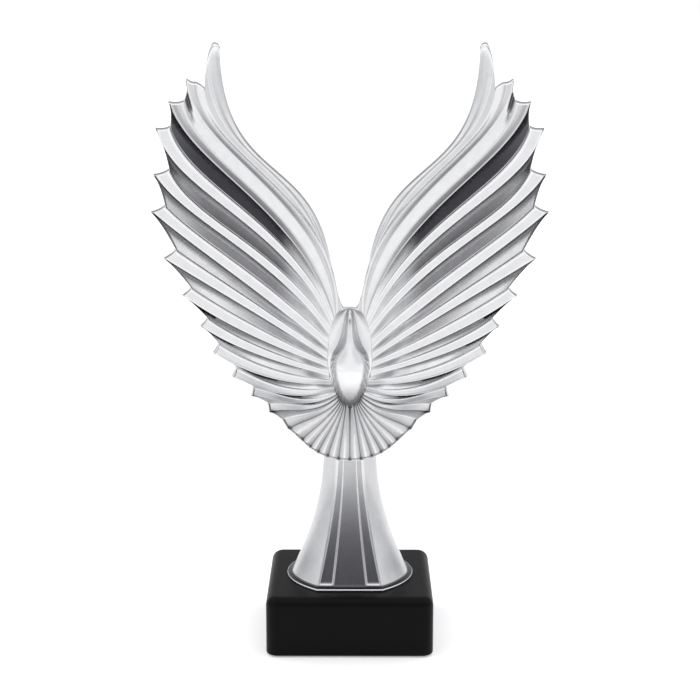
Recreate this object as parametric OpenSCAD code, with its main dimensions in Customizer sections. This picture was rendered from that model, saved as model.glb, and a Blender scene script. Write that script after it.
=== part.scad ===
// Wing trophy: a plated pair of feathered wings on a flared column and a black block.
// Millimetres. X to the right, Y to the back, Z up. The origin is on the table, under
// the middle of the block. The front of the trophy looks along -Y.

/* [Block] */
// Width and depth of the black block
block_w = 61.5; // [50:0.5:80]
// Height of the block's top above the table
block_top = 22.5; // [18:0.5:30]
// Corner radius of the block, seen from above
block_corner = 4.5; // [3:0.5:8]
// Radius of the soft edge around the block's top
block_edge = 3.5; // [1:0.5:4]
// How far the rubber feet stand proud of the block
foot_proud = 0.5; // [0.5:0.1:2]
// Diameter of a rubber foot
foot_d = 10; // [8:1:12]

/* [Column] */
// Thickness of the plated foot plate
plate_t = 1; // [0.8:0.1:2]
// How far the foot plate stands out past the column
plate_lip = 1.5; // [1:0.1:2.5]
// Height of the column's top above the table
column_top = 69.5; // [66:0.5:70]
// Half width of the column at its foot
foot_half_w = 22.3; // [18:0.1:23]
// Half width of the column at its top
neck_half_w = 10; // [9.5:0.1:12]
// Half depth of the column at its foot
foot_half_d = 21; // [18:0.1:22]
// Half depth of the column at its top
neck_half_d = 7.6; // [7:0.1:8]
// How quickly the column flares: 1 is a straight taper
flare = 1.9; // [1.2:0.1:3]
// Wall of the column shells
shell_t = 1.8; // [1.5:0.1:2]

/* [Fasteners] */
// Radius of the tie rod
rod_r = 3; // [2.5:0.5:3]
// Radius of the clearance holes for the tie rod
rod_hole_r = 3.3; // [3.2:0.1:3.5]
// Width across flats of the tie rod's nuts
nut_af = 10; // [10:1:11]
// Radius of the wing screws
screw_r = 1.5; // [1.25:0.25:2]

/* [Wings] */
// Height of the hub that the feathers spread from
hub_z = 100; // [98:1:104]
// Distance of the feathers' front from the middle plane, at the hub
hub_y = -3; // [-4:0.5:-2]
// Thickness of the feather sheet at its edge
rim_t = 2.4; // [2:0.1:3]
// Thickness of the feather sheet at the hub
root_t = 3.2; // [2.8:0.1:4]
// Height of the horn above the first notch
horn = 13.2; // [8:0.2:15]
// Depth of the pleats at the long feathers' tips
pleat = 3.2; // [1.5:0.1:3.5]

/* [Hidden] */

fine = 96;
silver = "silver";
plate_z = block_top;
column_z = block_top + plate_t;
column_h = column_top - column_z;

// Angle is counted from straight down, towards the wing's tip, as seen from the front.
function way(angle) = [sin(angle), -cos(angle)];
function mix(a, b, t) = a + (b - a) * t;
function clip(t) = min(1, max(0, t));
function ease(t) = let (c = clip(t)) c * c * (3 - 2 * c);

// ---------------------------------------------------------------- block

// A quarter-round edge under a flat top, turned about one corner of the block.
module block_post() {
    rise = block_top - foot_proud;
    rotate_extrude($fn = 32)
        polygon(concat(
            [[0, 0], [block_corner - 0.8, 0], [block_corner, 0.8]],
            [for (a = [0 : 15 : 90])
                [block_corner - block_edge + block_edge * cos(a), rise - block_edge + block_edge * sin(a)]],
            [[0, rise]]));
}

pocket_r = 10.5;
pocket_h = 9;
module base_block() {
    reach = block_w / 2 - block_corner;
    color([0.08, 0.08, 0.09])
    difference() {
        translate([0, 0, foot_proud]) hull()
            for (x = [-reach, reach], y = [-reach, reach]) translate([x, y, 0]) block_post();
        translate([0, 0, -1]) cylinder(r = rod_hole_r, h = block_top + 2, $fn = fine);
        translate([0, 0, foot_proud - 1]) cylinder(r = pocket_r, h = pocket_h + 1, $fn = fine);
    }
}

foot_inset = 9;
module rubber_foot(side, end) {
    at = block_w / 2 - foot_inset;
    color([0.15, 0.15, 0.15])
    translate([side * at, end * at, 0])
        rotate_extrude($fn = fine)
            polygon([[0, 0], [foot_d / 2 - 0.3, 0], [foot_d / 2, foot_proud], [0, foot_proud]]);
}

// ---------------------------------------------------------------- column

// Half width and half depth of the column at height h, from 0 at its foot to 1 at its top.
function half_w(h) = mix(neck_half_w, foot_half_w, pow(1 - h, flare));
function half_d(h) = mix(neck_half_d, foot_half_d, pow(1 - h, flare));
// Half width of the flat front and of the flat back.
front_foot = 12.2;
front_neck = 5.1;
function half_front(h) = mix(front_neck, front_foot, pow(1 - h, flare * 0.8));

// The column's outline at height h, grown by a margin: a flat front and back, and swelling
// flanks. A flank is part of an ellipse, which starts at an angle to the flat.
flank_steps = 7;
flank_start = 45;
function flank(h, grow) =
    let (w = half_w(h) + grow,
         wide = (w - half_front(h)) / (1 - sin(flank_start)),
         deep = (half_d(h) + grow) / cos(flank_start))
    [for (i = [0 : flank_steps]) let (a = mix(flank_start, 90, i / flank_steps))
        [w - wide * (1 - sin(a)), -deep * cos(a)]];
function outline(h, grow) =
    let (f = flank(h, grow), n = flank_steps)
    concat(
        f,
        [for (i = [n - 1 : -1 : 0]) [f[i][0], -f[i][1]]],
        [for (i = [0 : n]) [-f[i][0], -f[i][1]]],
        [for (i = [n - 1 : -1 : 0]) [-f[i][0], f[i][1]]]);

// A closed solid through a stack of convex rings that all have the same number of points.
module loft(stack) {
    n = len(stack[0]);
    top = len(stack) - 1;
    faces = concat(
        [[for (i = [0 : n - 1]) i]],
        [for (k = [0 : top - 1], i = [0 : n - 1], half = [0, 1])
            let (j = (i + 1) % n, a = k * n, b = a + n)
            half == 0 ? [a + i, b + i, b + j] : [a + i, b + j, a + j]],
        [[for (i = [n - 1 : -1 : 0]) top * n + i]]);
    polyhedron([for (r = stack) each r], faces, convexity = 6);
}

// The column's flared body, grown by a margin, from its foot up to height z_end.
column_rings = 12;
module flared_body(grow, z_end) {
    h_end = (z_end - column_z) / column_h;
    loft([for (k = [0 : column_rings]) let (h = h_end * k / column_rings)
        [for (p = outline(h, grow)) [p[0], p[1], column_z + h * column_h]]]);
}

column_roof = 1.6;
stem_r = 5;
stem_fit = 0.15;
module column_shell() color(silver) difference() {
    flared_body(0, column_top);
    translate([0, 0, -0.01]) flared_body(-shell_t, column_top - column_roof);
    translate([0, 0, column_z + column_h / 2]) cylinder(r = stem_r + stem_fit, h = column_h, $fn = fine);
}

// The core takes the pull of the tie rod, from the foot plate up to the spine's stem.
core_r = 5;
core_top = 58;
module column_core() color("lightgray") difference() {
    translate([0, 0, column_z]) cylinder(r = core_r, h = core_top - column_z, $fn = fine);
    translate([0, 0, column_z - 1]) cylinder(r = rod_hole_r, h = column_h, $fn = fine);
}

module foot_plate() color(silver) difference() {
    translate([0, 0, plate_z]) linear_extrude(plate_t) polygon(outline(0, plate_lip));
    translate([0, 0, plate_z - 1]) cylinder(r = rod_hole_r, h = plate_t + 2, $fn = fine);
}

// ---------------------------------------------------------------- tie rod and its fasteners

module disc_ring(r_out, r_in, t) difference() {
    cylinder(r = r_out, h = t, $fn = fine);
    translate([0, 0, -1]) cylinder(r = r_in, h = t + 2, $fn = fine);
}
module hex_nut(af, r_in, t) difference() {
    cylinder(r = af / sqrt(3), h = t, $fn = 6);
    translate([0, 0, -1]) cylinder(r = r_in, h = t + 2, $fn = fine);
}

washer_r = 9;
washer_t = 1.2;
lock_r = 5.6;
lock_t = 1.4;
nut_t = 4.8;
rod_end = 0.7;
pocket_z = foot_proud + pocket_h;
lock_z = pocket_z - washer_t - lock_t;
nut_z = lock_z - nut_t;
rod_top = column_top + 2;
module base_washer() color("silver")
    translate([0, 0, pocket_z - washer_t]) disc_ring(washer_r, rod_hole_r, washer_t);
module base_lock_washer() color("gray")
    translate([0, 0, lock_z]) disc_ring(lock_r, rod_hole_r, lock_t);
module base_nut() color("gray")
    translate([0, 0, nut_z]) hex_nut(nut_af, rod_r, nut_t);
module tie_rod() color("darkgray")
    translate([0, 0, nut_z - rod_end]) cylinder(r = rod_r, h = rod_top + rod_end - nut_z, $fn = fine);

// ---------------------------------------------------------------- spine and its fasteners

spine_y = hub_y + root_t + 0.4;
spine_t = 5;
spine_w = 13;
ear_x = 13;
ear_z = hub_z + 9;
ear_r = 5;
stud_r = 2;
stud_z = hub_z + 1;
stud_nut_af = 7;
stud_nut_t = 3.2;
stud_washer_t = 0.8;
spine_back = spine_y + spine_t;

// Turns a module so that its own Z axis looks to the back, and puts it at x, y, z.
module facing_back(x, y, z) translate([x, y, z]) rotate([-90, 0, 0]) children();

// A stem in the column carries a foot that leans back and rises to a plate behind the hub.
module rear_spine() color("lightgray") difference() {
    union() {
        translate([0, 0, core_top]) cylinder(r = stem_r, h = column_top - core_top + 1, $fn = fine);
        translate([spine_w / 2, 0, 0]) rotate([90, 0, -90]) linear_extrude(spine_w)
            polygon([
                [5.8, column_top], [4.6, column_top + 3], [2.2, column_top + 8], [-spine_y, hub_z - 14],
                [-spine_y, hub_z + 20], [-spine_y - 2, hub_z + 22], [-spine_back, hub_z + 20],
                [-spine_back, column_top + 8], [-spine_back - 1.4, column_top]]);
        facing_back(0, spine_y, 0) hull()
            for (x = [-ear_x, ear_x]) translate([x, -ear_z, 0])
                cylinder(r = ear_r, h = spine_t - 2, $fn = 32);
    }
    translate([0, 0, core_top - 1]) cylinder(r = rod_r, h = rod_top - core_top + 1, $fn = fine);
    facing_back(0, spine_y - 1, stud_z) cylinder(r = stud_r + 0.2, h = spine_t + 2, $fn = fine);
    for (x = [-ear_x, ear_x]) facing_back(x, spine_y - 1, ear_z)
        cylinder(r = screw_r + 0.2, h = spine_t, $fn = fine);
}

screw_tip = 1.8;
screw_head_r = 2.8;
screw_head_t = 2;
module wing_screw(x) color("gray") {
    facing_back(x, spine_y - screw_tip, ear_z) cylinder(r = screw_r, h = screw_tip + spine_t - 2, $fn = fine);
    facing_back(x, spine_back - 2, ear_z) cylinder(r = screw_head_r, h = screw_head_t, $fn = fine);
}

// The boss fills the hub's outline, with a little room, and swells out to the front.
boss_gap = 0.2;
boss_dome = 7.5;
boss_steps = 36;
boss_rings = 8;
module boss_body() {
    peak = -1;
    ring_at = function(s, y) [for (i = [0 : boss_steps - 1])
        let (a = 360 * (i + 0.5) / boss_steps,
             e = hub_edge(a <= 180 ? a : 360 - a),
             k = 1 - boss_gap / hub_half_w)
        [(a <= 180 ? -1 : 1) * e[0] * k * s, y, hub_z + peak + (e[1] * k - peak) * s]];
    front_face = hub_y - 0.6;
    loft(concat(
        [ring_at(1, hub_y + root_t)],
        [for (k = [0 : boss_rings]) let (a = 84 * k / boss_rings)
            ring_at(pow(cos(a), 0.8), front_face - boss_dome * sin(a))]));
}
module centre_boss() color(silver) difference() {
    boss_body();
    facing_back(0, hub_y - 1, stud_z) cylinder(r = stud_r, h = root_t + 2, $fn = fine);
}
module boss_stud() color("gray")
    facing_back(0, hub_y - 1, stud_z)
        cylinder(r = stud_r, h = spine_back + stud_washer_t + stud_nut_t + 1 - hub_y + 1, $fn = fine);
module boss_washer() color("silver")
    facing_back(0, spine_back, stud_z) disc_ring(4.5, stud_r + 0.2, stud_washer_t);
module boss_nut() color("gray")
    facing_back(0, spine_back + stud_washer_t, stud_z) hex_nut(stud_nut_af, stud_r, stud_nut_t);

// ---------------------------------------------------------------- wings

// One row per feather, from the leading edge down to the middle of the fan:
// how far its tip is from the hub, the angle of its tip, where its root sits on the
// hub's outline, the way it leaves the hub and the way its tip points.
feathers = [
    [128, 159, 158, 196, 190],
    [118.3, 154, 152, 186, 185],
    [124.3, 152, 147, 175, 180],
    [120.5, 147.5, 142, 163, 165],
    [115.5, 143, 131, 155, 168],
    [103.5, 137, 118, 144, 147],
    [95, 131, 101, 131, 133],
    [81.5, 124, 89, 124, 126],
    [69, 117.5, 80, 111, 130],
    [58.5, 110.5, 70, 104, 130],
    [51.5, 102, 58, 88, 128],
    [43.5, 92.5, 48, 70, 122],
    [37, 82, 38, 60, 104],
    [32.5, 69, 31, 50, 80],
    [29.7, 52, 24, 41, 57],
    [29.4, 38.5, 19, 33, 41],
    [30, 30.5, 15, 26, 31],
    [30.5, 23.5, 11, 20, 24],
    [30.8, 16, 7.5, 13, 16],
    [31, 8, 4, 7, 8],
    [31, 0, 0, 0, 0]
];
last = len(feathers) - 1;
feather_w = 0.52;

// Smooth value of column c between rows, at feather number u.
function row(i) = feathers[min(last, max(0, i))];
function smooth(u, c) =
    let (i = min(last - 1, floor(u)), t = u - i,
         a = row(i - 1)[c], b = row(i)[c], d = row(i + 1)[c], e = row(i + 2)[c])
    b + 0.5 * t * (d - a + t * (2 * a - 5 * b + 4 * d - e + t * (3 * (b - d) + e - a)));

// The hub's outline: pointed below, round above.
hub_half_w = 7.8;
hub_rise = 6.35;
hub_half_h = 18.65;
function hub_edge(a) = [hub_half_w * pow(sin(a), 0.6), hub_rise - hub_half_h * cos(a)];

// Reach of the wing's edge at feather number u. A feather's own end is nearly square to
// it, and from its tip the edge drops back to the root of the next feather's end.
function edge_reach(u) =
    let (i = min(last - 1, floor(u)), w = u - i, a = feathers[i][0], b = feathers[i + 1][0], dip = b * 0.979)
    i == 0 ? b + horn * horn_share(w) :
    w < 1 - feather_w ? mix(a, dip, pow(w / (1 - feather_w), 0.65)) :
    mix(dip, b, pow((w - 1 + feather_w) / feather_w, 1.9));

// The horn's tip lies a little way in from the leading edge, and its far side tapers quickly.
horn_tip = 0.15;
horn_taper = 1.2;
horn_round = 0.15;
function horn_share(w) =
    w < horn_tip ? 1 - horn_round * (1 - sqrt(1 - pow(1 - w / horn_tip, 2))) :
    1 - pow((w - horn_tip) / (1 - horn_tip), horn_taper);
function edge_angle(u) = let (i = min(last - 1, floor(u))) mix(feathers[i][1], feathers[i + 1][1], u - i);

// The leading edge, from the fork of the wings up to the horn.
leading_edge = [[0, 25], [12.6, 17.4], [-7.3, 98.4], [45.7, 53.3], [46.8, 120.4]];
function bezier(k, v) = let (w = 1 - v)
    pow(w, 4) * k[0] + 4 * pow(w, 3) * v * k[1] + 6 * w * w * v * v * k[2]
        + 4 * w * pow(v, 3) * k[3] + pow(v, 4) * k[4];

// A feather line leaves the hub in its own way and turns to its tip.
function edge_end(u) = edge_reach(u) * way(edge_angle(u));
function feather_line(u, v) =
    let (from = hub_edge(smooth(u, 2)),
         to = edge_end(u),
         out = 0.45 * norm(to - from) * way(smooth(u, 3)),
         back = 0.25 * norm(to - from) * way(smooth(u, 4)))
    bezier([from, from + 0.75 * out, (from + out + to - back) / 2, to - 0.75 * back, to], v);

// Above the first feather line, lines blend into the leading edge, and their ends are drawn
// out to the horn.
horn_draw = 8;
function line_point(u, v) =
    u >= 1 ? feather_line(u, v) :
    mix(bezier(leading_edge, v), feather_line(1, v), u)
        + (edge_end(u) - mix(leading_edge[4], edge_end(1), u)) * pow(v, horn_draw);

// The wing is cupped towards the front. Its slope at the edge grows towards the bottom,
// where the sheet runs straight out instead of bending.
function rim_slope(u) = mix(mix(0.1, 0.26, clip(u / 8)), 0.62, clip((u - 8) / 6));
function bend(u) = mix(2, 1.15, clip((u - 9) / 5));
function span(u) = norm(edge_end(max(1, u)) - hub_edge(smooth(max(1, u), 2)));
function cup(u, v) = hub_y - rim_slope(u) * span(u) * pow(v, bend(u)) / bend(u);

// Pleat height at feather number u: a step at each feather's lower edge, a floor that
// rises to the next feather's crest, and the feather's nearly flat top.
function pleat_shape(w) =
    w < 1 - feather_w ? 0.7 * pow(w / (1 - feather_w), 1.5) :
    w < 1 - feather_w + 0.08 ? 1 : 0.9;
function pleat_size(u, v) =
    let (tip = u < 9 ? pleat : mix(pleat, 1.2, clip((u - 9) / 5)), soft = u < 2.9 ? 0.3 : 1)
    soft * mix(0.8, tip, v);
function roll(u) = 3.2 * pow(1 - clip(u / 0.45), 2);
function front_y(u, v) = cup(u, v) + roll(u)
    - pleat_size(u, v) * (u < 1 ? 1 : pleat_shape(u - floor(u)));
function sheet_t(u, v) = mix(root_t, rim_t, v) * mix(0.35, 1, sqrt(clip(u / 0.35)));

// The grid of the sheet: five lines to a feather, and fewer where it is plain.
line_steps = [0.001, 0.2, 1 - feather_w, 1 - feather_w + 0.08, 0.93];
lines = concat(
    [0, 0.12, 0.25, 0.45, 0.7, 0.9],
    [for (i = [1 : last - 1]) each [for (s = line_steps) i + s]],
    [last]);
stations = 13;
function front_point(u, v) =
    let (p = line_point(u, v), s = rim_slope(u) * v, t = rim_t * s / sqrt(1 + s * s), d = way(edge_angle(u)))
    [p[0] - d[0] * t * v, front_y(u, v), hub_z + p[1] - d[1] * t * v];
// The back of the sheet follows its front, and flattens at the root to lie on the spine.
function back_y(u, v) = mix(spine_y, front_y(u, v) + sheet_t(u, v), ease(v / root_pad));
root_pad = 0.25;
function back_point(u, v) = let (p = line_point(u, v)) [p[0], back_y(u, v), hub_z + p[1]];

module wing_sheet() {
    rows = stations + 1;
    n = len(lines);
    front = [for (u = lines) each [for (k = [0 : stations]) front_point(u, k / stations)]];
    rear = [for (u = lines) each [for (k = [0 : stations]) back_point(u, k / stations)]];
    f = function(i, k) i * rows + k;
    b = function(i, k) n * rows + i * rows + k;
    faces = [
        for (i = [0 : n - 2]) each [for (k = [0 : stations - 1]) each [
            [f(i, k), f(i, k + 1), f(i + 1, k + 1)], [f(i, k), f(i + 1, k + 1), f(i + 1, k)],
            [b(i, k), b(i + 1, k + 1), b(i, k + 1)], [b(i, k), b(i + 1, k), b(i + 1, k + 1)]]],
        for (i = [0 : n - 2]) each [
            [f(i, stations), b(i, stations), b(i + 1, stations)],
            [f(i, stations), b(i + 1, stations), f(i + 1, stations)],
            [f(i, 0), b(i + 1, 0), b(i, 0)], [f(i, 0), f(i + 1, 0), b(i + 1, 0)]],
        for (k = [0 : stations - 1]) each [
            [f(0, k), b(0, k), b(0, k + 1)], [f(0, k), b(0, k + 1), f(0, k + 1)],
            [f(n - 1, k), b(n - 1, k + 1), b(n - 1, k)], [f(n - 1, k), f(n - 1, k + 1), b(n - 1, k + 1)]]
    ];
    polyhedron(concat(front, rear), faces, convexity = 10);
}
module wing() difference() {
    wing_sheet();
    facing_back(ear_x, spine_y - screw_tip, ear_z) cylinder(r = screw_r, h = screw_tip + 2, $fn = fine);
}
module right_wing() color(silver) wing();
module left_wing() color(silver) mirror([1, 0, 0]) wing();

base_block();
rubber_foot(-1, -1);  // foot_front_left
rubber_foot(1, -1);  // foot_front_right
rubber_foot(-1, 1);  // foot_rear_left
rubber_foot(1, 1);  // foot_rear_right
foot_plate();
column_shell();
column_core();
tie_rod();
base_washer();
base_lock_washer();
base_nut();
rear_spine();
left_wing();
right_wing();
wing_screw(-ear_x);  // left_wing_screw
wing_screw(ear_x);  // right_wing_screw
centre_boss();
boss_stud();
boss_washer();
boss_nut();
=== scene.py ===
# %% [markdown]
# # A winged trophy, from its fixed frame to its finish
# The object is a presentation trophy. Two pleated wings meet at a drop-shaped boss and stand on
# a flared column, which is bolted down on a black block. The frame holds the sizes, and this
# lesson gives each showing piece a finer surface and its finish. Lengths below are in
# millimetres, because that is how such a piece is drawn, and they become metres in one place.

# %% Load the fixed frame
import math

import bmesh
import bpy
import numpy as np
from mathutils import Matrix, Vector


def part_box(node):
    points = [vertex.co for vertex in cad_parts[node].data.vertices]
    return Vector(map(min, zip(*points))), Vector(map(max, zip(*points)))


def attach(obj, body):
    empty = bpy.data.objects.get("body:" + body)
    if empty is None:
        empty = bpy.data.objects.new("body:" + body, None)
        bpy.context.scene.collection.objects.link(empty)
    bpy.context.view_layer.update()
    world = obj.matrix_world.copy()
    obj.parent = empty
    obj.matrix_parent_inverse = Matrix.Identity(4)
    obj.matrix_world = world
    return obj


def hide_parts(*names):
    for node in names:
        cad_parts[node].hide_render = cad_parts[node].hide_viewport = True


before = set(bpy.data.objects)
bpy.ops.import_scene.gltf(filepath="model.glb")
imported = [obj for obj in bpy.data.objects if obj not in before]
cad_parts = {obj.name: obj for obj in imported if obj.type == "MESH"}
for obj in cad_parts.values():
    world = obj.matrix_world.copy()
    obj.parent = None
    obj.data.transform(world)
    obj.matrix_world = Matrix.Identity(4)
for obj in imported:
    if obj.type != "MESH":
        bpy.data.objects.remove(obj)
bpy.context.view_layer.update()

MM = 0.001
print("nodes in the frame:", len(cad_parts))

# %% [markdown]
# ## Where things are
# The main positions come from the frame. The hub is the point the feathers spread from. The boss
# reaches about a third of its height below it, so the boss's own box gives the hub's height.

# %% Read the places that the pieces are built on
def span_of(node):
    """Lowest and highest corner of a node, in millimetres."""
    low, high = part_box(node)
    return np.array(low) / MM, np.array(high) / MM


boss_low, boss_high = span_of("centre_boss")
block_low, block_high = span_of("base_block")
plate_low, plate_high = span_of("foot_plate")
column_low, column_high = span_of("column_shell")
boss_below_hub, boss_tall, root_t = 12.23, 37.16, 3.2
hub_z = boss_low[2] + (boss_high[2] - boss_low[2]) * boss_below_hub / boss_tall
hub_y = boss_high[1] - root_t
print("hub height %.2f mm, feather fronts at y %.2f mm" % (hub_z, hub_y))

# %% [markdown]
# ## From a grid of points to a mesh
# Each piece is a surface worked out on a grid. Rows and columns of points go in as one array,
# and neighbouring points become four-sided faces. A closed piece joins its last row or column to
# its first. Points that fall together, as at a pole, are welded, and then the faces are turned
# to look outwards.

# %% Grid helpers
def grid_quads(rows, cols, close_rows=False, close_cols=False):
    """Corner numbers of the quads between neighbouring rows and columns of a grid."""
    i = np.arange(rows if close_rows else rows - 1)[:, None]
    j = np.arange(cols if close_cols else cols - 1)[None, :]
    near, far = i * cols, (i + 1) % rows * cols
    here, there = j, (j + 1) % cols
    return np.stack([near + here, near + there, far + there, far + here], -1).reshape(-1, 4)


def clip(t):
    """t held between 0 and 1."""
    return np.clip(t, 0.0, 1.0)


def ease(t):
    """Soft step: 3t^2 - 2t^3 with t held between 0 and 1."""
    t = clip(t)
    return t * t * (3 - 2 * t)


def mix(a, b, t):
    """a + (b - a) t."""
    return a + (b - a) * t


def hump(t, width):
    """Bell curve exp(-(t / width)^2)."""
    return np.exp(-((t / width) ** 2))


def make_piece(name, points, faces, finish, stands_for, shade=None):
    """One mesh object from points in millimetres; shade is the painted shade and painted reflection, a
    number from 0 to 1 for each point.
    """
    mesh = bpy.data.meshes.new(name)
    mesh.from_pydata((points.reshape(-1, 3) * MM).tolist(), [], faces)
    # stores the painted shade and painted reflection on the mesh as a point attribute
    if shade is not None:
        field = mesh.attributes.new("painted_shade", "FLOAT", "POINT")
        field.data.foreach_set("value", shade.astype(np.float32).ravel())
    shell = bmesh.new()
    shell.from_mesh(mesh)
    bmesh.ops.remove_doubles(shell, verts=shell.verts, dist=1e-7)
    bmesh.ops.dissolve_degenerate(shell, edges=shell.edges, dist=1e-8)
    bmesh.ops.recalc_face_normals(shell, faces=shell.faces)
    shell.to_mesh(mesh)
    shell.free()
    mesh.polygons.foreach_set("use_smooth", np.ones(len(mesh.polygons), bool))
    mesh.materials.append(finish)
    piece = bpy.data.objects.new(name, mesh)
    bpy.context.collection.objects.link(piece)
    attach(piece, "root")
    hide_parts(*stands_for)
    print(name, len(mesh.vertices), "points,", len(mesh.polygons), "faces")


# %% [markdown]
# ## The silver finish
# The wings, boss and column are cast and then plated in a satin silver. Satin means that the
# metal mirrors its surroundings, but softly: the roughness is low and wanders a little, and a
# very fine grain breaks up the gloss. Shade and reflection are also painted into the colour:
# each plated piece carries a painted shade number, high in its channels, creases and low places,
# and the finish darkens the silver there towards near-black.

# %% Make the silver finish
def new_finish(name):
    """An empty node material with its shader; returns the material, its nodes and its links."""
    finish = bpy.data.materials.new(name)
    finish.use_nodes = True
    return finish, finish.node_tree.nodes, finish.node_tree.links


def grain(nodes, links, scale, detail=3.0, stretch=(1, 1, 1)):
    """Noise over the piece's own coordinates, scale in cells per metre; returns its value socket."""
    where = nodes.new("ShaderNodeTexCoord")
    place = nodes.new("ShaderNodeMapping")
    place.inputs["Scale"].default_value = stretch
    noise = nodes.new("ShaderNodeTexNoise")
    noise.inputs["Scale"].default_value = scale
    noise.inputs["Detail"].default_value = detail
    links.new(where.outputs["Object"], place.inputs["Vector"])
    links.new(place.outputs["Vector"], noise.inputs["Vector"])
    return noise.outputs["Fac"]


def spread(nodes, links, value, low, high):
    """Map Range: stretches a value from 0.3..0.7 to low..high; returns the result socket."""
    ramp = nodes.new("ShaderNodeMapRange")
    ramp.inputs["From Min"].default_value = 0.3
    ramp.inputs["From Max"].default_value = 0.7
    ramp.inputs["To Min"].default_value = low
    ramp.inputs["To Max"].default_value = high
    links.new(value, ramp.inputs["Value"])
    return ramp.outputs["Result"]


def mixed(nodes, links, factor, a, b, blend="MIX"):
    """Colour a (1 - factor) + b factor, or their product with MULTIPLY; each may be a socket."""
    mixer = nodes.new("ShaderNodeMix")
    mixer.data_type, mixer.blend_type = "RGBA", blend
    for name, value in (("Factor", factor), ("A", a), ("B", b)):
        if isinstance(value, bpy.types.NodeSocket):
            links.new(value, mixer.inputs[name])
        else:
            mixer.inputs[name].default_value = value if name == "Factor" else (*value, 1)
    return mixer.outputs["Result"]


def roughen(nodes, links, shader, value, depth):
    """Bump of the given depth in metres from a value, wired to the shader's normal."""
    bump = nodes.new("ShaderNodeBump")
    bump.inputs["Strength"].default_value = 1.0
    bump.inputs["Distance"].default_value = depth
    links.new(value, bump.inputs["Height"])
    links.new(bump.outputs["Normal"], shader.inputs["Normal"])


def plated_finish(name, bright, painted_shade_colour, gloss):
    """Satin plating with painted shade: bright on the high places, the painted shade colour where the
    piece's painted shade number is 1.
    """
    finish, nodes, links = new_finish(name)
    shader = nodes["Principled BSDF"]
    shader.inputs["Metallic"].default_value = 1.0
    # the painted shade number that each plated piece carries
    painted_shade = nodes.new("ShaderNodeAttribute")
    painted_shade.attribute_name = "painted_shade"
    cloud = spread(nodes, links, grain(nodes, links, 260, 2.0), 0.94, 1.0)
    # painted shade and painted reflection: the silver mixed towards near-black by that number
    blend = mixed(nodes, links, painted_shade.outputs["Fac"], bright, painted_shade_colour)
    links.new(mixed(nodes, links, 1.0, blend, cloud, "MULTIPLY"), shader.inputs["Base Color"])
    links.new(spread(nodes, links, grain(nodes, links, 900), gloss - 0.03, gloss + 0.05),
              shader.inputs["Roughness"])
    roughen(nodes, links, shader, grain(nodes, links, 9000, 2.0), 0.000004)
    return finish


# the near-black second colour is painted shade and painted reflection, not a colour of the plating
silver = plated_finish("satin_silver", (0.82, 0.822, 0.828), (0.09, 0.09, 0.098), 0.22)
print("finish:", silver.name)

# %% [markdown]
# ## The black block
# The block is poured resin with a satin skin. Its body is a rounded square, carried along a
# profile: out over the flat top, round the soft upper edge, down the side, under the block, up
# into the pocket that hides the nut, and back up the rod's hole. Working it out as one closed
# surface keeps the soft edge even all the way round, which a bevelled cube would not.

# %% Make the black resin finish
def resin_finish(name, colour, gloss, sheen_level):
    """Moulded resin: one dark colour with faint clouding and a fine orange-peel skin."""
    finish, nodes, links = new_finish(name)
    shader = nodes["Principled BSDF"]
    shader.inputs["Specular IOR Level"].default_value = sheen_level
    cloud = spread(nodes, links, grain(nodes, links, 120, 4.0), 0.9, 1.1)
    links.new(mixed(nodes, links, 1.0, colour, cloud, "MULTIPLY"), shader.inputs["Base Color"])
    links.new(spread(nodes, links, grain(nodes, links, 700, 4.0), gloss - 0.02, gloss + 0.02),
              shader.inputs["Roughness"])
    roughen(nodes, links, shader, grain(nodes, links, 3500, 3.0), 0.000002)
    return finish


black = resin_finish("black_satin_resin", (0.0025, 0.0025, 0.003), 0.4, 0.08)
print("finish:", black.name)

# %% Build the block
def rounded_square(half, corner, steps=10):
    """Rings of a square with round corners: corner centres at half - corner along both axes, and
    a quarter circle about each. half and corner are columns with one value for each ring."""
    turn = np.radians(np.concatenate([q * 90 + np.linspace(0, 90, steps) for q in range(4)]))
    mid = np.radians(np.repeat([45, 135, 225, 315], steps))
    reach = (half - corner)[:, None]
    return (np.sign(np.cos(mid)) * reach + corner[:, None] * np.cos(turn),
            np.sign(np.sin(mid)) * reach + corner[:, None] * np.sin(turn))


def block_profile(half, foot, top):
    """Stations of the profile as rows of half width, corner radius and height."""
    corner, edge, rod, pocket, pocket_top = 4.5, 3.5, 3.3, 10.5, foot + 9
    foot_edge, bevel = 0.8, 0.3
    round_top = np.radians(np.linspace(90, 0, 9))
    round_foot = np.radians(np.linspace(0, -90, 5))
    top_in, foot_in = edge * (1 - np.cos(round_top)), foot_edge * (1 - np.cos(round_foot))
    rows = [(rod, rod, top - bevel), (rod + bevel, rod + bevel, top), (half * 0.5, corner, top),
            (half - edge - bevel, corner - edge, top)]
    rows += [(half - a, corner - a, top - edge + edge * s) for a, s in zip(top_in, np.sin(round_top))]
    rows += [(half - a, corner - a, foot + foot_edge + foot_edge * s)
             for a, s in zip(foot_in, np.sin(round_foot))]
    rows += [(half - 1.2, corner - 1.2, foot), (pocket + bevel, pocket + bevel, foot),
             (pocket, pocket, foot + bevel), (pocket, pocket, pocket_top - 0.1),
             (pocket - 0.1, pocket - 0.1, pocket_top), (rod + 0.1, rod + 0.1, pocket_top),
             (rod, rod, pocket_top + 0.1)]
    return np.array(rows)


profile = block_profile(block_high[0], block_low[2], block_high[2])
across, along = rounded_square(profile[:, 0], profile[:, 1])
points = np.stack([across, along, np.broadcast_to(profile[:, 2:3], across.shape)], -1)
make_piece("block", points, grid_quads(*across.shape, True, True).tolist(), black,
           ["base_block"])

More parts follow.
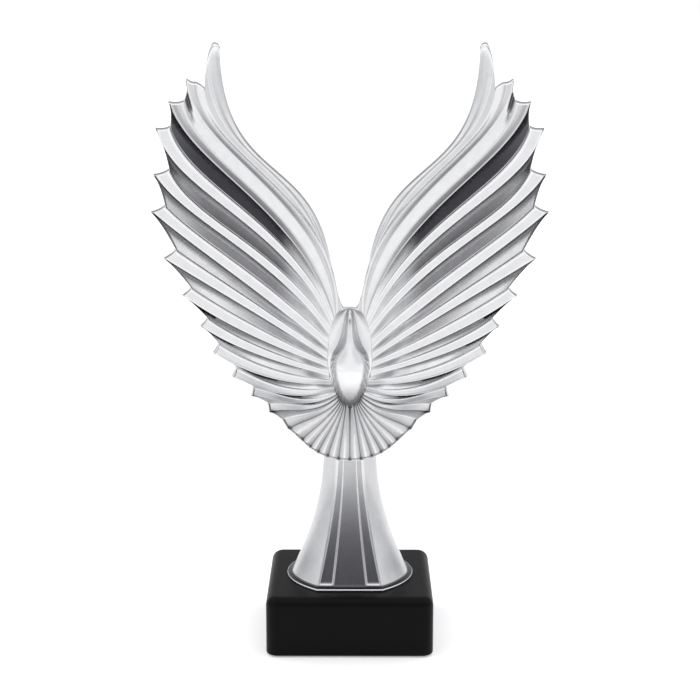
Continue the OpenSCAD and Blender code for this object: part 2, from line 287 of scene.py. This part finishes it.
# %% [markdown]
# ## The column and its foot plate
# The column is a flared casting. Seen from above it has a flat front and back, and flanks that
# swell out between them. Up the front run a sunk panel and two narrower strips, with a fine
# ridge between them. A loft does this: one outline, worked out at every height, with the panel
# lines following the flare. The foot plate is the same outline, a little larger.

# %% Describe the column's outline
foot_w, foot_d = column_high[0], column_high[1]
neck_w, neck_d, flare = 10.0, 7.6, 1.9


def flare_share(h, power):
    """Share of the foot's size at height h, from 1 at the foot to 0 at the neck: (1 - h)^power."""
    return (1 - clip(h)) ** power


def half_sizes(h):
    """Half width, half depth and half width of the flat front at height h from 0 to 1."""
    return (mix(neck_w, foot_w, flare_share(h, flare)), mix(neck_d, foot_d, flare_share(h, flare)),
            mix(5.1, 12.2, flare_share(h, flare * 0.8)))


def flank_curve(h, grow, t):
    """Flank from the front corner (t 0) to the widest place (t 1): the last eighth of an ellipse,
    so it leaves the flat at an angle. Returns x and depth, both as positive half sizes."""
    w, d, f = half_sizes(h)
    start = math.pi / 4
    a = mix(start, math.pi / 2, t)
    wide = (w + grow - f) / (1 - math.sin(start))
    return w + grow - wide * (1 - np.sin(a)), (d + grow) * np.cos(a) / math.cos(start)


# %% [markdown]
# Each panel line is a pair of numbers, its distance from the middle at the neck and at the foot,
# and how deep the surface lies there. The lines come in close pairs, so that every ridge keeps
# a crisp shoulder that catches a thin line of light.

# %% Lay out the panel lines
panel_lines = np.array([
    # neck, foot, depth
    [0.0, 0.0, 0.4], [1.2, 3.4, 0.4], [1.88, 5.7, 0.4], [2.0, 5.85, 0.38], [2.14, 6.05, 0.1],
    [2.22, 6.14, 0.02], [2.4, 6.36, 0.0], [2.58, 6.58, 0.02], [2.66, 6.67, 0.1],
    [2.8, 6.86, 0.38], [2.9, 6.98, 0.4], [3.4, 9.0, 0.4], [3.85, 11.1, 0.4], [3.95, 11.22, 0.38],
    [4.08, 11.42, 0.1], [4.18, 11.52, 0.02], [4.4, 11.7, 0.0], [4.75, 11.95, 0.0],
    [4.98, 12.1, 0.03], [5.1, 12.2, 0.12]])
flank_steps = np.linspace(0, 1, 19)[1:]
panel_depth = 0.4
shell_wall = 1.8


def column_ring(h, grow, rise, sunk):
    """One ring of the column for each h: flat front with its sunk panels, flank, back and flank.
    Depth at a panel line is sunk times its table depth, and panels stop short of the foot.
    It also gives each point a painted shade: dark in the sunk panels of front and back, more so
    lower down, an even lighter shade on the flanks, a little heavier a few millimetres up, and a
    dark band at the very foot."""
    h, grow, rise, sunk = (np.asarray(a, float)[:, None] for a in (h, grow, rise, sunk))
    share = flare_share(h, flare * 0.8)
    front_x = mix(panel_lines[:, 0], panel_lines[:, 1], share)
    stop = np.where(panel_lines[:, 0] < 2.4, 0.35, 1.15)
    ends = ease((rise - stop) / 0.35)
    depth = np.where(panel_lines[:, 0] < 4.45, panel_lines[:, 2] * ends, panel_lines[:, 2]) * sunk
    front_y = -(half_sizes(h)[1] + grow) + depth
    side_x, side_y = flank_curve(h, grow, flank_steps)
    right_x = np.concatenate([front_x, side_x, side_x[:, -2::-1], front_x[:, ::-1]], 1)
    right_y = np.concatenate([front_y, -side_y, side_y[:, -2::-1], -front_y[:, ::-1]], 1)
    # painted shade: a dark band along the foot of the column, where it meets the plate
    gap = 0.95 * ease((0.85 - rise) / 0.2)
    # painted shade and painted reflection in the sunk panels, darker towards the foot
    tone = mix(0.82, 0.36, clip(rise / 42))
    panel_shade = clip(0.12 + tone * depth / panel_depth + gap)
    # painted shade on the flanks and back corners, heaviest a few millimetres above the foot
    low = clip(0.34 + 0.16 * hump(rise - 6, 5) * np.sin(flank_steps * math.pi) + gap)
    painted_shade = np.concatenate([panel_shade, low + 0 * side_x, (low + 0 * side_x)[:, -2::-1],
                             panel_shade[:, ::-1]], 1)
    x = np.concatenate([right_x, -right_x[:, -2:0:-1]], 1)
    y = np.concatenate([right_y, right_y[:, -2:0:-1]], 1)
    return x, y, np.concatenate([painted_shade, painted_shade[:, -2:0:-1]], 1)


print("points in one ring of the column:", column_ring([0], [0], [0], [0])[0].shape[1])

# %% [markdown]
# The column is hollow, so that the rod and its core fit inside. The surface climbs the outside,
# closes over the top to the stem's hole, and comes back down inside, so the wall has a thickness.

# %% Build the column
def circle_ring(like_x, like_y, radius):
    """Rings of points on circles, at the same angles as the outline they belong to."""
    turn = np.arctan2(like_y, like_x)
    return radius[:, None] * np.cos(turn), radius[:, None] * np.sin(turn)


column_h = column_high[2] - column_low[2]
climb = np.concatenate([[0.0, 0.003, 0.007, 0.011, 0.016, 0.022, 0.028, 0.034, 0.042],
                        np.linspace(0.055, 0.985, 44), [0.993, 0.998, 1.0]])
foot_round, neck_round = 0.35, 0.3
edge_in = -foot_round * (1 - np.sqrt(1 - (1 - clip(climb * column_h / foot_round)) ** 2))
edge_in -= neck_round * (1 - np.sqrt(1 - (1 - clip((1 - climb) * column_h / neck_round)) ** 2))
out_x, out_y, out_painted_shade = column_ring(climb, edge_in, climb * column_h, np.ones(len(climb)))
inner = np.linspace(0.965, 0.0, 14)
in_x, in_y, in_painted_shade = column_ring(inner, np.full(14, -shell_wall), inner * 0,
                                  np.zeros(14))
bore = np.array([6.0, 5.15, 5.15, 6.0])
bore_x, bore_y = circle_ring(out_x[-1:], out_y[-1:], bore)
bore_z = column_high[2] - np.array([0.0, 0.1, 1.5, 1.62])
x = np.concatenate([out_x, bore_x, in_x])
y = np.concatenate([out_y, bore_y, in_y])
z = np.concatenate([column_low[2] + climb * column_h, bore_z, column_low[2] + inner * column_h])
# painted shade for every ring: the outside's; none on the bore or the inside
painted_shade = np.concatenate([out_painted_shade, 0 * bore_x, in_painted_shade])
points = np.stack([x, y, np.broadcast_to(z[:, None], x.shape)], -1)
make_piece("column", points, grid_quads(*x.shape, True, True).tolist(), silver,
           ["column_shell"], painted_shade)

# %% Build the foot plate
lip = plate_high[0] - foot_w
plate_grow = np.array([-3, lip - 0.6, lip - 0.3, lip - 0.09, lip, lip, lip - 0.09, lip - 0.35, -3])
plate_z = np.array([0, 0, 0, 0.09, 0.3, 0.7, 0.91, 1, 1])
ring_x, ring_y, _ = column_ring(np.zeros(9), plate_grow, np.zeros(9), np.zeros(9))
hole_x, hole_y = circle_ring(ring_x[-1:], ring_y[-1:], np.array([3.4, 3.3, 3.3, 3.4]))
x, y = np.concatenate([ring_x, hole_x]), np.concatenate([ring_y, hole_y])
z = plate_low[2] + np.concatenate([plate_z, [1, 0.9, 0.1, 0]]) * (plate_high[2] - plate_low[2])
points = np.stack([x, y, np.broadcast_to(z[:, None], x.shape)], -1)
# painted shade and painted reflection: the plate's top, its hole and its underside are painted dark,
# only the rim stays bright
plate_painted_shade = np.zeros(x.shape)
plate_painted_shade[[7, 8, 9, 10]] = 1
plate_painted_shade[0] = plate_painted_shade[-1] = 1
make_piece("foot_plate_rim", points, grid_quads(*x.shape, True, True).tolist(), silver,
           ["foot_plate"], plate_painted_shade)

# %% [markdown]
# ## The wings
# A wing is one cupped, pleated casting. Its feathers overlap like the slats of a louvre. Going
# down the wing, each feather has a step at its lower edge, then an open channel whose floor
# climbs to the crest of the next feather. The surface is a function of two numbers. The whole
# part of u counts feathers from the leading edge to the middle of the fan, and v runs along a
# feather from the hub to its tip. One row of the table places each feather line.

# %% Set out the feather lines
feathers = np.array([
    # reach, tip angle, root angle on the hub, way out of the hub, way the tip points
    [128, 159, 158, 196, 190], [118.3, 154, 152, 186, 185], [124.3, 152, 147, 175, 180],
    [120.5, 147.5, 142, 163, 165], [115.5, 143, 131, 155, 168], [103.5, 137, 118, 144, 147],
    [95, 131, 101, 131, 133], [81.5, 124, 89, 124, 126], [69, 117.5, 80, 111, 130],
    [58.5, 110.5, 70, 104, 130], [51.5, 102, 58, 88, 128], [43.5, 92.5, 48, 70, 122],
    [37, 82, 38, 60, 104], [32.5, 69, 31, 50, 80], [29.7, 52, 24, 41, 57],
    [29.4, 38.5, 19, 33, 41], [30, 30.5, 15, 26, 31], [30.5, 23.5, 11, 20, 24],
    [30.8, 16, 7.5, 13, 16], [31, 8, 4, 7, 8], [31, 0, 0, 0, 0]])
last = len(feathers) - 1
open_share = 0.48


def way(angle):
    """Unit direction in the wing's plane, angle in degrees counted from straight down."""
    a = np.radians(angle)
    return np.stack([np.sin(a), -np.cos(a)], -1)


def split(u):
    """Whole feather number and the share of the way to the next one."""
    i = np.clip(np.floor(u), 0, last - 1).astype(int)
    return i, u - i


def along_rows(u, column):
    """Catmull-Rom curve through one column of the table at feather number u."""
    i, t = split(u)
    a, b, c, d = (feathers[np.clip(i + k, 0, last), column] for k in (-1, 0, 1, 2))
    return b + 0.5 * t * (c - a + t * (2 * a - 5 * b + 4 * c - d + t * (3 * (b - c) + d - a)))


def hub_edge(angle):
    """The hub's outline, pointed below and round above: 7.8 sin(a)^0.6 out, 6.35 - 18.65 cos(a) up."""
    a = np.radians(angle)
    return np.stack([7.8 * clip(np.sin(a)) ** 0.6, 6.35 - 18.65 * np.cos(a)], -1)


def root_point(u):
    """Where feather line u starts: on the hub's outline, tucked in under its lower part."""
    start = hub_edge(along_rows(u, 2))
    return start * mix(1, 0.84, ease(-start[..., 1:] / 6))


# %% [markdown]
# The wing's edge is toothed. From a feather's tip the edge drops along the mouth of its channel,
# then climbs over the end of the next feather. The first feather ends in a tall horn instead.

# %% Describe the toothed edge
horn, horn_tip, horn_taper = 13.2, 0.15, 1.3
inside_box = 0.3


def edge_point(u):
    """Point of the toothed edge at feather number u, measured from the hub."""
    i, w = split(u)
    a, b = feathers[i, 0], feathers[i + 1, 0]
    dip = b * 0.979
    mouth = mix(a, dip, clip(w / open_share) ** 0.65)
    end = mix(dip, b, clip((w - open_share) / (1 - open_share)) ** 1.9)
    inner_side = 0.15 * (1 - np.sqrt(1 - clip(1 - w / horn_tip) ** 2))
    outer_side = clip((w - horn_tip) / (1 - horn_tip)) ** horn_taper
    spike = b + horn * (1 - np.where(w > horn_tip, outer_side, inner_side))
    reach = np.where(i == 0, spike, np.where(w < open_share, mouth, end)) - inside_box
    angle = mix(feathers[i, 1], feathers[i + 1, 1], w)
    return reach[..., None] * way(angle), way(angle)


leading_curve = np.array([[0, 25], [12.6, 17.4], [-7.3, 98.4], [45.7, 53.3], [46.7, 120.2]])


def bezier(knots, v):
    """Bezier curve of degree four: each knot times its share 4!/(k! (4 - k)!) v^k (1 - v)^(4 - k)."""
    v = v[..., None]
    return sum(math.comb(4, k) * v**k * (1 - v) ** (4 - k) * knot for k, knot in enumerate(knots))


def line_point(u, v):
    """Point on feather line u at share v. A line is a Bezier curve that leaves the hub in its own
    way and turns to its tip. Up to the first feather line it is blended with the leading curve,
    and its last part is drawn out to the horn."""
    row = np.maximum(u, 1.0)
    start, (stop, _) = root_point(row), edge_point(row)
    length = np.linalg.norm(stop - start, axis=-1)[..., None]
    out, back = 0.45 * length * way(along_rows(row, 3)), 0.25 * length * way(along_rows(row, 4))
    middle = (start + out + stop - back) / 2
    plain = bezier((start, start + 0.75 * out, middle, stop - 0.75 * back, stop), v)
    share = clip(u)[..., None]
    drawn = edge_point(np.minimum(u, 1.0))[0] - mix(leading_curve[-1], stop, share)
    led = mix(bezier(leading_curve, v), plain, share) + drawn * v[..., None] ** 8
    return np.where(u[..., None] < 1, led, plain)


# %% [markdown]
# The pleats are heights above the cupped sheet. Their depth follows the room between two feather
# lines, so they stay in proportion as the feathers narrow towards the hub. The two leading
# feathers are smooth and broad, with one soft ridge and one soft groove between them.

# %% Describe the pleats
deepest_pleat = 4.4


def table_at(u, *pairs):
    """Straight-line interpolation between (u, value) pairs."""
    where, value = zip(*pairs)
    return np.interp(u, where, value)


def louvre(w, belly):
    """Height of one slat across a feather, from 0 to 1: the floor climbs as (w / 0.46)^belly to
    0.7, a crisp lip takes it to 1, the top falls a little, and its last part rolls under."""
    floor = 0.7 * clip(w / 0.46) ** belly
    lip = 0.3 * ease((w - 0.46) / 0.05)
    fall = 0.1 * clip((w - 0.52) / 0.42)
    under = 0.9 * clip((w - 0.94) / 0.06) ** 4
    beads = 0.06 * hump(w - 0.545, 0.02) + 0.05 * hump(w - 0.93, 0.018)
    return floor + lip - fall - under + beads


def ridge(w):
    """Height of one even pleat, from 0 in its valleys to 1 on its narrow crest."""
    return 1 - np.sqrt((2 * w - 1) ** 2 + 0.012)


def from_rim(u, v):
    """Distance from the rim along a feather, in millimetres: the feather's length times 1 - v."""
    row = np.maximum(u, 1.0)
    return np.linalg.norm(edge_point(row)[0] - root_point(row), axis=-1) * (1 - v)


def leading_relief(u):
    """Height of the smooth leading feathers, in the same unit as the pleats: a broad swell, a
    faint ridge, one soft groove, and a rise to the lip above the first channel."""
    swell = 0.7 + 0.42 * hump(u - 0.55, 0.55) + 0.05 * hump(u - 1.0, 0.06)
    groove = 0.24 * hump(u - 1.46, 0.28)
    return swell - groove + 0.3 * ease((u - 2.5) / 0.42) - 0.4 * ease((u - 2.965) / 0.035)


def feather_room(u, v):
    """Distance across feather u between its two lines, square to the feather, at share v."""
    i, _ = split(u)
    low, high = line_point(i + 0.0, v), line_point(i + 1.0, v)
    step = line_point(i + 0.5, clip(v + 0.01)) - line_point(i + 0.5, clip(v + 0.01) - 0.02)
    step /= np.linalg.norm(step, axis=-1)[..., None]
    gap = high - low
    return np.abs(gap[..., 0] * step[..., 1] - gap[..., 1] * step[..., 0])


def pleat_height(u, v):
    """Height of the sheet's front above the cupped sheet, in millimetres: the pleat's shape times
    its depth, which rises from nothing at the hub. Near the rim the channels close up."""
    i, w = split(u)
    room = feather_room(u, v)
    steep = table_at(u, (0, 0.36), (5, 0.36), (7, 0.32), (9, 0.36), (12, 0.4), (14, 0.3), (20, 0.3))
    emerge = mix(ease((v - 0.01) / 0.2), 1, ease((u - 9) / 3))
    depth = np.minimum(room * steep, deepest_pleat) * emerge
    closed = ease(1 - from_rim(u, v) / 2.2) * (w < 0.5)
    shape = mix(mix(louvre(w, 0.95), 1, closed), ridge(w), ease((u - 11.6) / 2))
    smooth_depth = 3.0 * ease(v / 0.35) * (1 - 0.3 * v)
    tip_slot = 1.6 * ease((v - 0.84) / 0.1) * hump(u - 2.22, 0.16)
    return np.where(u < 3, leading_relief(u) * smooth_depth - tip_slot, shape * depth)


def painted_wing_shade(u, v):
    """Painted shade and painted reflection on the wing's front, from 0 to 1: deep in the upper
    channels, fading towards the hub, faint in the lower ones, with a dark spot beside the boss
    and a thin line at each step."""
    # every term below is painted shade or painted reflection, set where the pleats look dark in a
    # studio
    i, w = split(u)
    louvred = 1 - ease((u - 11) / 2.5)
    inside = ease((0.47 - w) / 0.03) * (u >= 3) * louvred
    fade = ease((v - table_at(u, (3, 0.24), (4, 0.2), (5, 0.19), (7, 0.16), (10, 0.08))) / 0.1)
    fade *= ease((from_rim(u, v) - 1.5) / 1.2)
    deep = table_at(u, (3, 0.97), (3.46, 0.97), (4, 0.36), (4.2, 0.55), (4.48, 0.9), (5, 0.36),
                    (5.5, 0.46), (6, 0.24), (7, 0.18), (8, 0.12), (12, 0.08), (20, 0.08))
    spot = 0.85 * hump(w - 0.2, 0.24) * hump(v - 0.05, 0.06) * hump(u - 7, 3.2)
    crease = 0.75 * (hump(w, 0.014) + hump(w - 1, 0.014)) * (u > 2.9) * ease((v - 0.1) / 0.16)
    tops = 0.22 * (1 - hump(w - 0.55, 0.045)) * (1 - hump(w - 0.93, 0.03)) * louvred * (w > 0.46)
    deep_fold = np.abs(2 * w - 1) ** 2.5
    valleys = 0.28 * (1 - hump(w - 0.5, 0.08)) + 0.36 * deep_fold + 0.8 * hump(v, 0.17) * deep_fold
    valleys = valleys * (1 - louvred)
    nicks = 0.7 * hump(np.minimum(w, 1 - w), 0.14) * hump(v - 0.93, 0.04) * (1 - louvred)
    soft_lines = 0.3 * hump(u - 1.46, 0.1) + 0.28 * hump(u - 2.84, 0.1) + 0.14 * (u < 3)
    slot = 0.8 * hump(u - 2.2, 0.16) * ease((v - 0.87) / 0.05)
    edge = 0.12 * (1 - ease(u / 0.15))
    # sum of the painted shade: channels, step lines, boss spot, tip slot, slat tops, lower valleys and
    # nicks, leading soft lines and grey edge
    drawn = deep * inside * fade + crease + spot + slot + valleys + nicks + tops + soft_lines + edge
    return clip(drawn * ease((from_rim(u, v) - 0.9) / 0.5))


print("room between feathers 5 and 6 at mid length: %.1f mm"
      % feather_room(np.array([5.0]), np.array([0.5]))[0])

# %% [markdown]
# The sheet is cupped towards the front, gently on the long feathers and more on the short ones
# at the bottom, whose rims hang over the column. At the rim the front edge is drawn in, so the
# thickness of the casting shows as a fine band around every tooth.

# %% Describe the front and back of a wing
rim_t, edge_roll, plate_gap = 2.4, 3.4, 0.4


def rim_slope(u):
    """Slope of the cupped sheet at its rim."""
    return table_at(u, (0, 0.1), (6, 0.16), (8, 0.26), (14, 0.62), (20, 0.62))


def wing_point(u, v, share):
    """Point of the wing in millimetres; share is 0 on the front of the sheet and 1 on its back.
    The sheet is cupped by slope length v^bend / bend, so its slope at the rim is rim_slope."""
    flat, (edge, out) = line_point(u, v), edge_point(u)
    row = np.maximum(u, 1.0)
    length = np.linalg.norm(edge_point(row)[0] - root_point(row), axis=-1)
    slope, bend = rim_slope(u), table_at(u, (9, 2.0), (14, 1.15))
    cup = hub_y - slope * length * v**bend / bend
    roll = edge_roll * (1 - np.sqrt(1 - 0.98 * (1 - clip(u / 0.5)) ** 2))
    front = cup + roll - pleat_height(u, v)
    thick = mix(root_t, rim_t, v) * mix(0.3, 1, np.sqrt(clip(u / 0.35)))
    spine_front = hub_y + root_t + plate_gap
    behind = mix(spine_front, front + thick, ease(v / 0.25))
    inset = 0.6 * ease(1 - from_rim(u, v) / 1.8) * (1 - share)
    place = flat - out * inset[..., None]
    y = mix(front, behind, share)
    return np.stack([place[..., 0], y, hub_z + place[..., 1]], -1)


feather_steps = np.array([0.0, 0.012, 0.04, 0.09, 0.16, 0.24, 0.32, 0.39, 0.435, 0.46, 0.475, 0.49,
                          0.505, 0.52, 0.545, 0.575, 0.63, 0.72, 0.81, 0.88, 0.915, 0.94, 0.96,
                          0.975, 0.988])
smooth_steps = np.linspace(0, 1, 15)[:-1]
u_lines = np.concatenate([0.5 * np.linspace(0, 1, 12)[:-1] ** 1.6, np.linspace(0.5, 1, 9)[:-1],
                          1 + smooth_steps, 2 + np.linspace(0, 1, 26)[:-1]]
                         + [k + feather_steps for k in range(3, last)] + [[last]])
t = np.linspace(0, 1, 96)
v_lines = t - 0.6 * np.sin(2 * math.pi * t) / (2 * math.pi)
print(len(u_lines), "lines across a wing,", len(v_lines), "stations along each")

# %% [markdown]
# Front, rim, back and root make one closed loop for every feather line, and the two end lines
# are closed across. The left wing is the right one mirrored; turning the faces out afterwards
# puts right what a mirror turns inside out.

# %% Build both wings
def wing_shell():
    """Points and quads of the right wing, with the painted shade of every point."""
    rim = np.array([0.12, 0.5, 0.88])
    v = np.concatenate([v_lines, np.ones(3), v_lines[::-1]])
    share = np.concatenate([0 * v_lines, rim, 0 * v_lines + 1])
    u, v = np.meshgrid(u_lines, v, indexing="ij")
    share = np.broadcast_to(share, u.shape)
    points = wing_point(u, v, share)
    # painted shade on the back of the wing: light all over, darker behind the second half of each
    # feather, following the front's pleats
    behind = 0.16 + 0.22 * ease((split(u)[1] - 0.45) / 0.15)
    painted_shade = mix(painted_wing_shade(u, v), behind, share)
    quads = grid_quads(*u.shape, False, True)
    rows, cols = u.shape
    k = np.arange(len(v_lines) - 1)
    cap = np.stack([k, k + 1, cols - 2 - k, cols - 1 - k], -1)
    rim_cap = np.arange(len(v_lines) - 1, len(v_lines) + 4)
    far = (rows - 1) * cols
    return points, [quads, cap, cap[:, ::-1] + far], [rim_cap, rim_cap[::-1] + far], painted_shade


def build_wing(name, side, node):
    """A wing on the given side, 1 for right and -1 for left."""
    points, quads, ends, painted_shade = wing_shell()
    faces = np.concatenate(quads).tolist() + [e.tolist() for e in ends]
    points = points * np.array([side, 1, 1])
    make_piece(name, points, faces, silver, [node], painted_shade)


build_wing("wing_right", 1, "right_wing")
build_wing("wing_left", -1, "left_wing")

# %% [markdown]
# ## The boss
# The boss covers the roots of the feathers. It is a drop: full and round below, and drawn out
# above into a soft neck that runs up to the fork of the wings. Around it a thin flange lies
# flush with the wings and covers the feathers' roots. The drop is a dome over its outline.

# %% Build the boss
def boss_share(fold):
    """Share of the way from the drop's middle to the hub's outline that the drop itself takes."""
    return table_at(fold, (0, 0.99), (12, 0.9), (28, 0.86), (48, 0.88), (66, 0.92), (80, 0.92),
                    (90, 0.88), (100, 0.8), (110, 0.7),
                    (120, 0.63), (130, 0.6), (140, 0.59), (150, 0.6), (160, 0.65), (170, 0.78),
                    (176, 0.92), (180, 1))


drop_middle, drop_height, drop_end = 3, 7.2, 20.5
turn = np.linspace(0, 360, 241)[:-1]
fold = np.where(turn <= 180, turn, 360 - turn)
rim = hub_edge(fold) * np.stack([np.where(turn <= 180, 1, -1), 1 + 0 * turn], -1)
radius = np.sin(np.linspace(0, math.pi / 2, 40))[:, None]
flare_out = np.array([[0.03], [0.5], [0.97], [1]])
part = np.concatenate([radius * boss_share(fold), mix(boss_share(fold), 1, flare_out)])
inside = np.concatenate([radius, np.ones((4, 1))])
point = np.abs(2 * (fold / 10.6 % 1) - 1) * ease((82 - fold) / 15)
part = part * (1 - 0.1 * (1 - point) * ease((82 - fold) / 15) * ease((inside - 0.9) / 0.08))
x = part * 1.06 * rim[:, 0]
z = drop_middle + part * (rim[:, 1] - drop_middle) * mix(1, 1.02, ease((fold - 90) / 60))
edge_row = len(radius) - 1
neck_side = (turn > 84) & (turn <= 180)
half = np.interp(z, z[edge_row, neck_side], x[edge_row, neck_side])
across = np.where(z > drop_middle, clip(np.abs(x) / np.maximum(half, 0.3)), inside)
dome = drop_height - 0.09 * np.maximum(z - drop_middle, 0)
dome = dome * np.sqrt(1 - clip((z - drop_end) / 4.9) ** 2)
level = np.concatenate([0 * radius - 0.2, [[-0.2], [-0.15], [-0.08], [0.3]]])
front = hub_y + level - dome * (1 - across**2) ** mix(0.5, 0.75, ease((z - 4) / 9))
edge_y = np.stack([np.full(len(turn), hub_y + y) for y in (0.6, root_t, root_t)])
x, z = np.concatenate([x, x[-1:], x[-1:], 0 * x[:1]]), np.concatenate([z, z[-1:], z[-1:], 0 * z[:1]])
points = np.stack([x, np.concatenate([front, edge_y]), z], -1)
# painted shade on the outer sides of the drop's upper part and neck
painted_side_shade = 0.3 * inside**3 * ease((z[:-3] - 5) / 6) * (1 - ease((part - boss_share(fold)) / 0.3))
flange = np.concatenate([0 * radius, [[0.5], [1], [1], [1]], np.zeros((3, 1))])
# painted shade: the drop darker towards its bottom and at its lower rim, and a faint tone on the
# flange
low = 0.75 * ease((0 - z) / 10) + 0.4 * ease((1 - z) / 7) * np.concatenate([inside, flange[-3:]]) ** 12
painted_shade = clip(low * (points[..., 1] < hub_y + 1) + flange * 0.06)
painted_shade[:-3] += painted_side_shade
points[..., 2] += hub_z
make_piece("boss_drop", points, grid_quads(*points.shape[:2], False, True).tolist(), silver,
           ["centre_boss"], painted_shade)

# %% [markdown]
# ## Hidden hardware
# The rear spine, rod, washers, nuts, screws, core and rubber feet keep the shapes of the frame.
# They are turned and stamped parts, so only their finish is given here: brushed zinc for the
# fasteners, plain cast metal for the core, a satin brushed metal for the spine, and dull rubber
# for the feet.

# %% Finish the carried-over nodes
def metal_finish(name, colour, gloss, stretch):
    """Bare metal with a brushed grain: noise stretched along one direction."""
    finish, nodes, links = new_finish(name)
    shader = nodes["Principled BSDF"]
    shader.inputs["Metallic"].default_value = 1.0
    brushed = grain(nodes, links, 1400, 3.0, stretch)
    dim = [0.8 * c for c in colour]
    tint = mixed(nodes, links, spread(nodes, links, brushed, 0.0, 1.0), dim, colour)
    links.new(tint, shader.inputs["Base Color"])
    links.new(spread(nodes, links, brushed, gloss - 0.06, gloss + 0.08), shader.inputs["Roughness"])
    roughen(nodes, links, shader, brushed, 0.00001)
    return finish


zinc = metal_finish("brushed_zinc", (0.62, 0.64, 0.67), 0.32, (1, 1, 8))
cast = metal_finish("plain_cast_metal", (0.7, 0.7, 0.71), 0.4, (1, 1, 1))
spine_plate = metal_finish("satin_spine", (0.68, 0.685, 0.7), 0.26, (6, 1, 1))
rubber = resin_finish("foot_rubber", (0.02, 0.02, 0.021), 0.8, 0.3)
node_finish = {"column_core": cast, "rear_spine": spine_plate}
node_finish.update({n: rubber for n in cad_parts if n.startswith("foot_") and n != "foot_plate"})
shown = [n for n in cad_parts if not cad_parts[n].hide_render]
for node in shown:
    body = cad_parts[node]
    finish = node_finish.get(node, zinc)
    if not body.material_slots:
        body.data.materials.append(finish)
    for place in body.material_slots:
        place.material = finish
print("finished nodes:", len(shown))

# %% [markdown]
# ## Floor, light and camera
# The trophy stands on a plain white table. The light is that of a white studio: a broad bright
# ceiling over slightly dimmer walls, with a darker opening in front and one behind. Polished
# silver shows its surroundings, so these differences model its folds, together with the shade
# and reflection painted into the plating's colour.

# %% Lay the floor
def floor_finish():
    """Matt white with a barely uneven tone."""
    finish, nodes, links = new_finish("white_table")
    shader = nodes["Principled BSDF"]
    shader.inputs["Roughness"].default_value = 0.9
    shader.inputs["Specular IOR Level"].default_value = 0.0
    shader.inputs["Emission Color"].default_value = (1, 1, 1, 1)
    shader.inputs["Emission Strength"].default_value = 0.34
    tone = mixed(nodes, links, grain(nodes, links, 3), (0.92, 0.92, 0.92), (0.93, 0.93, 0.93))
    links.new(tone, shader.inputs["Base Color"])
    return finish


table_mesh = bpy.data.meshes.new("table")
table_mesh.from_pydata([(-15, -15, 0), (15, -15, 0), (15, 15, 0), (-15, 15, 0)], [], [(0, 1, 2, 3)])
table_mesh.materials.append(floor_finish())
table = bpy.data.objects.new("table", table_mesh)
bpy.context.collection.objects.link(table)
print("floor laid at z 0")

# %% Light the studio
def band(nodes, links, value, low, high):
    """Soft step of a value between low and high; returns its socket."""
    step = nodes.new("ShaderNodeMapRange")
    step.interpolation_type = "SMOOTHSTEP"
    step.inputs["From Min"].default_value = low
    step.inputs["From Max"].default_value = high
    links.new(value, step.inputs["Value"])
    return step.outputs["Result"]


def times(nodes, links, a, b):
    """Product of two values."""
    product = nodes.new("ShaderNodeMath")
    product.operation = "MULTIPLY"
    links.new(a, product.inputs[0])
    links.new(b, product.inputs[1])
    return product.outputs["Value"]


studio = bpy.data.worlds.new("studio")
bpy.context.scene.world = studio
studio.use_nodes = True
nodes, links = studio.node_tree.nodes, studio.node_tree.links
nodes.clear()
toward = nodes.new("ShaderNodeTexCoord")
parts = nodes.new("ShaderNodeSeparateXYZ")
links.new(toward.outputs["Generated"], parts.inputs["Vector"])
depthwise = times(nodes, links, parts.outputs["Y"], parts.outputs["Y"])
ahead = band(nodes, links, depthwise, 0.1, 0.38)
low_edge = band(nodes, links, parts.outputs["Z"], 0.02, 0.4)
high_edge = band(nodes, links, parts.outputs["Z"], 0.8, 0.6)
opening = times(nodes, links, times(nodes, links, ahead, low_edge), high_edge)
height = band(nodes, links, parts.outputs["Z"], -0.1, 0.7)
rising = mixed(nodes, links, height, (0.84, 0.85, 0.87), (1.26, 1.26, 1.28))
lit = nodes.new("ShaderNodeBackground")
links.new(mixed(nodes, links, opening, rising, (0.4, 0.4, 0.42)), lit.inputs["Color"])
plain = nodes.new("ShaderNodeBackground")
plain.inputs["Color"].default_value = (1, 1, 1, 1)
seen = nodes.new("ShaderNodeLightPath")
choose = nodes.new("ShaderNodeMixShader")
links.new(seen.outputs["Is Camera Ray"], choose.inputs["Fac"])
links.new(lit.outputs["Background"], choose.inputs[1])
links.new(plain.outputs["Background"], choose.inputs[2])
sky = nodes.new("ShaderNodeOutputWorld")
links.new(choose.outputs["Shader"], sky.inputs["Surface"])
bpy.context.scene.view_settings.view_transform = "Standard"
print("studio lit")

# %% [markdown]
# The camera stands in front, a little above the wings' tips, and looks slightly down with a
# long lens, so the block shows a little of its top.

# %% Place the camera
view = bpy.data.cameras.new("front_view")
view.lens, view.sensor_width = 90.8, 36
view.clip_start, view.clip_end = 0.05, 60
camera = bpy.data.objects.new("front_view", view)
bpy.context.collection.objects.link(camera)
camera.location = (0.0026, -0.6423, 0.2417)
camera.rotation_euler = (math.radians(78.33), 0, math.radians(0.23))
bpy.context.scene.camera = camera
print("camera at", [round(c, 3) for c in camera.location])
